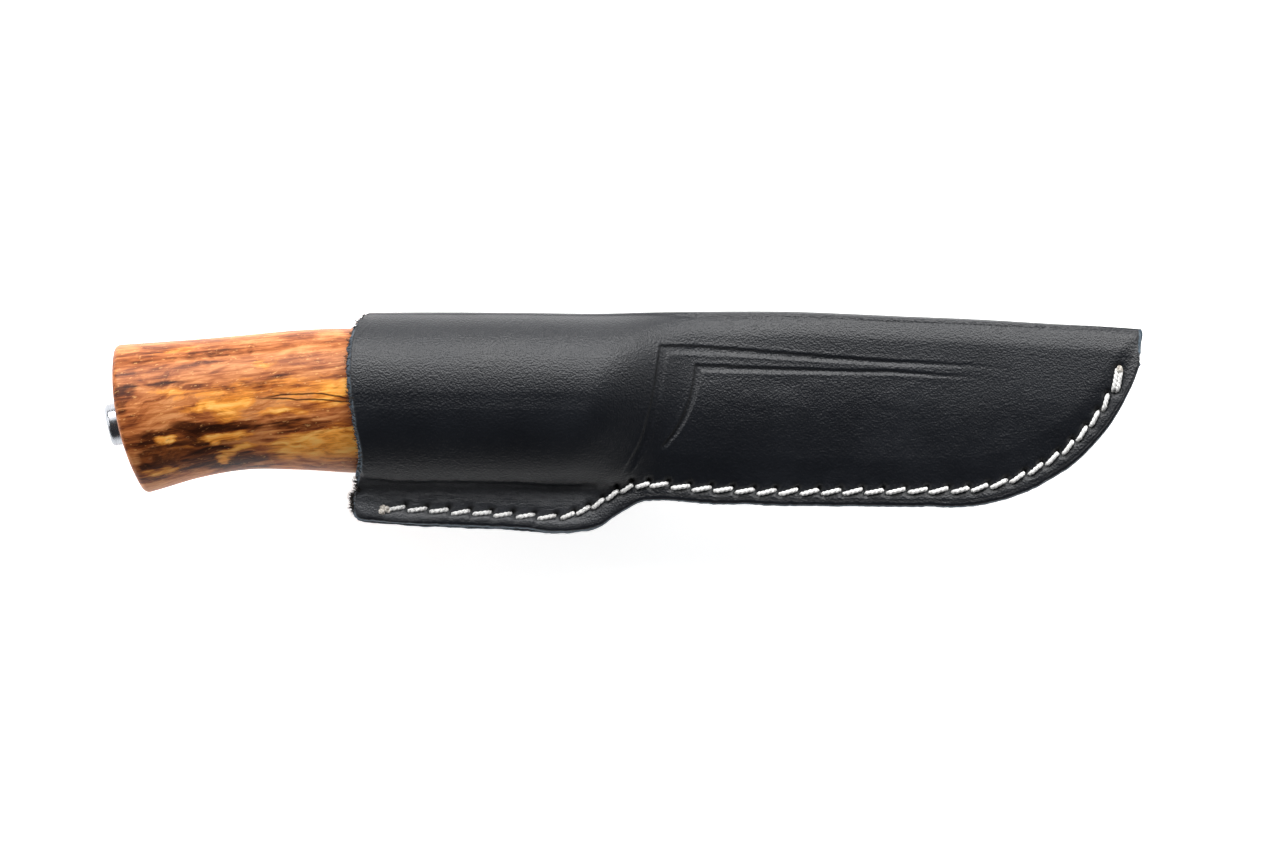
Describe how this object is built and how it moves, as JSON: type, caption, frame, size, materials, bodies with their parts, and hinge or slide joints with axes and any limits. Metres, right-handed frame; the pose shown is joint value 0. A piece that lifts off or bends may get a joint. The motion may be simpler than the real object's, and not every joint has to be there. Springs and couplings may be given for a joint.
{
  "type": "whittling knife",
  "caption": "Whittling knife with a stick-tang blade and a figured-wood handle, carried in a folded and stitched leather sheath that has a belt loop at its back.",
  "frame": {"origin": "middle of the resting side, on the surface that the belt loop lies on", "axes": "+X along the knife towards the sheath's tip, +Y towards the fold of the sheath and the back of the blade, +Z out of the sheath's front face"},
  "size_m": [0.2202, 0.0477, 0.0389],
  "materials": {
    "black_leather": "vegetable-tanned, dyed black, lightly waxed",
    "white_thread": "twisted and waxed",
    "nickel": "nickel plated",
    "blade_steel": "ground, with a polished bevel",
    "stud_steel": "turned",
    "curly_birch": "stained curly birch, sealed and buffed to a gloss",
    "polished_steel": "turned and polished"
  },
  "bodies": {
    "sheath": {"sheath_body": "black_leather", "welt": "black_leather", "front_thread": "white_thread", "back_thread": "white_thread", "belt_loop": "black_leather", "rivet_posts": "nickel", "rivet_caps": "nickel"},
    "knife": {"blade": "blade_steel", "tang_stud": "stud_steel", "handle": "curly_birch"},
    "washer": {"end_washer": "stud_steel"},
    "nut": {"end_nut": "polished_steel"}
  },
  "joints": [
    {"name": "knife_draw", "type": "slide", "parent": "sheath", "child": "knife", "axis": [-1, 0, 0], "range_m": [0, 0.165]},
    {"name": "nut_travel", "type": "slide", "parent": "knife", "child": "washer", "axis": [-0.9781, -0.2079, 0], "range_m": [0, 0.008]},
    {"name": "nut_turn", "type": "hinge", "parent": "washer", "child": "nut", "pos_m": [-0.10848, -0.0004, 0.0241], "axis": [-0.9781, -0.2079, 0], "range_deg": [0, 2881]}
  ],
  "couplings": [
    {"joint": "nut_turn", "follows": "nut_travel", "rad_per_m": 6283.2}
  ]
}
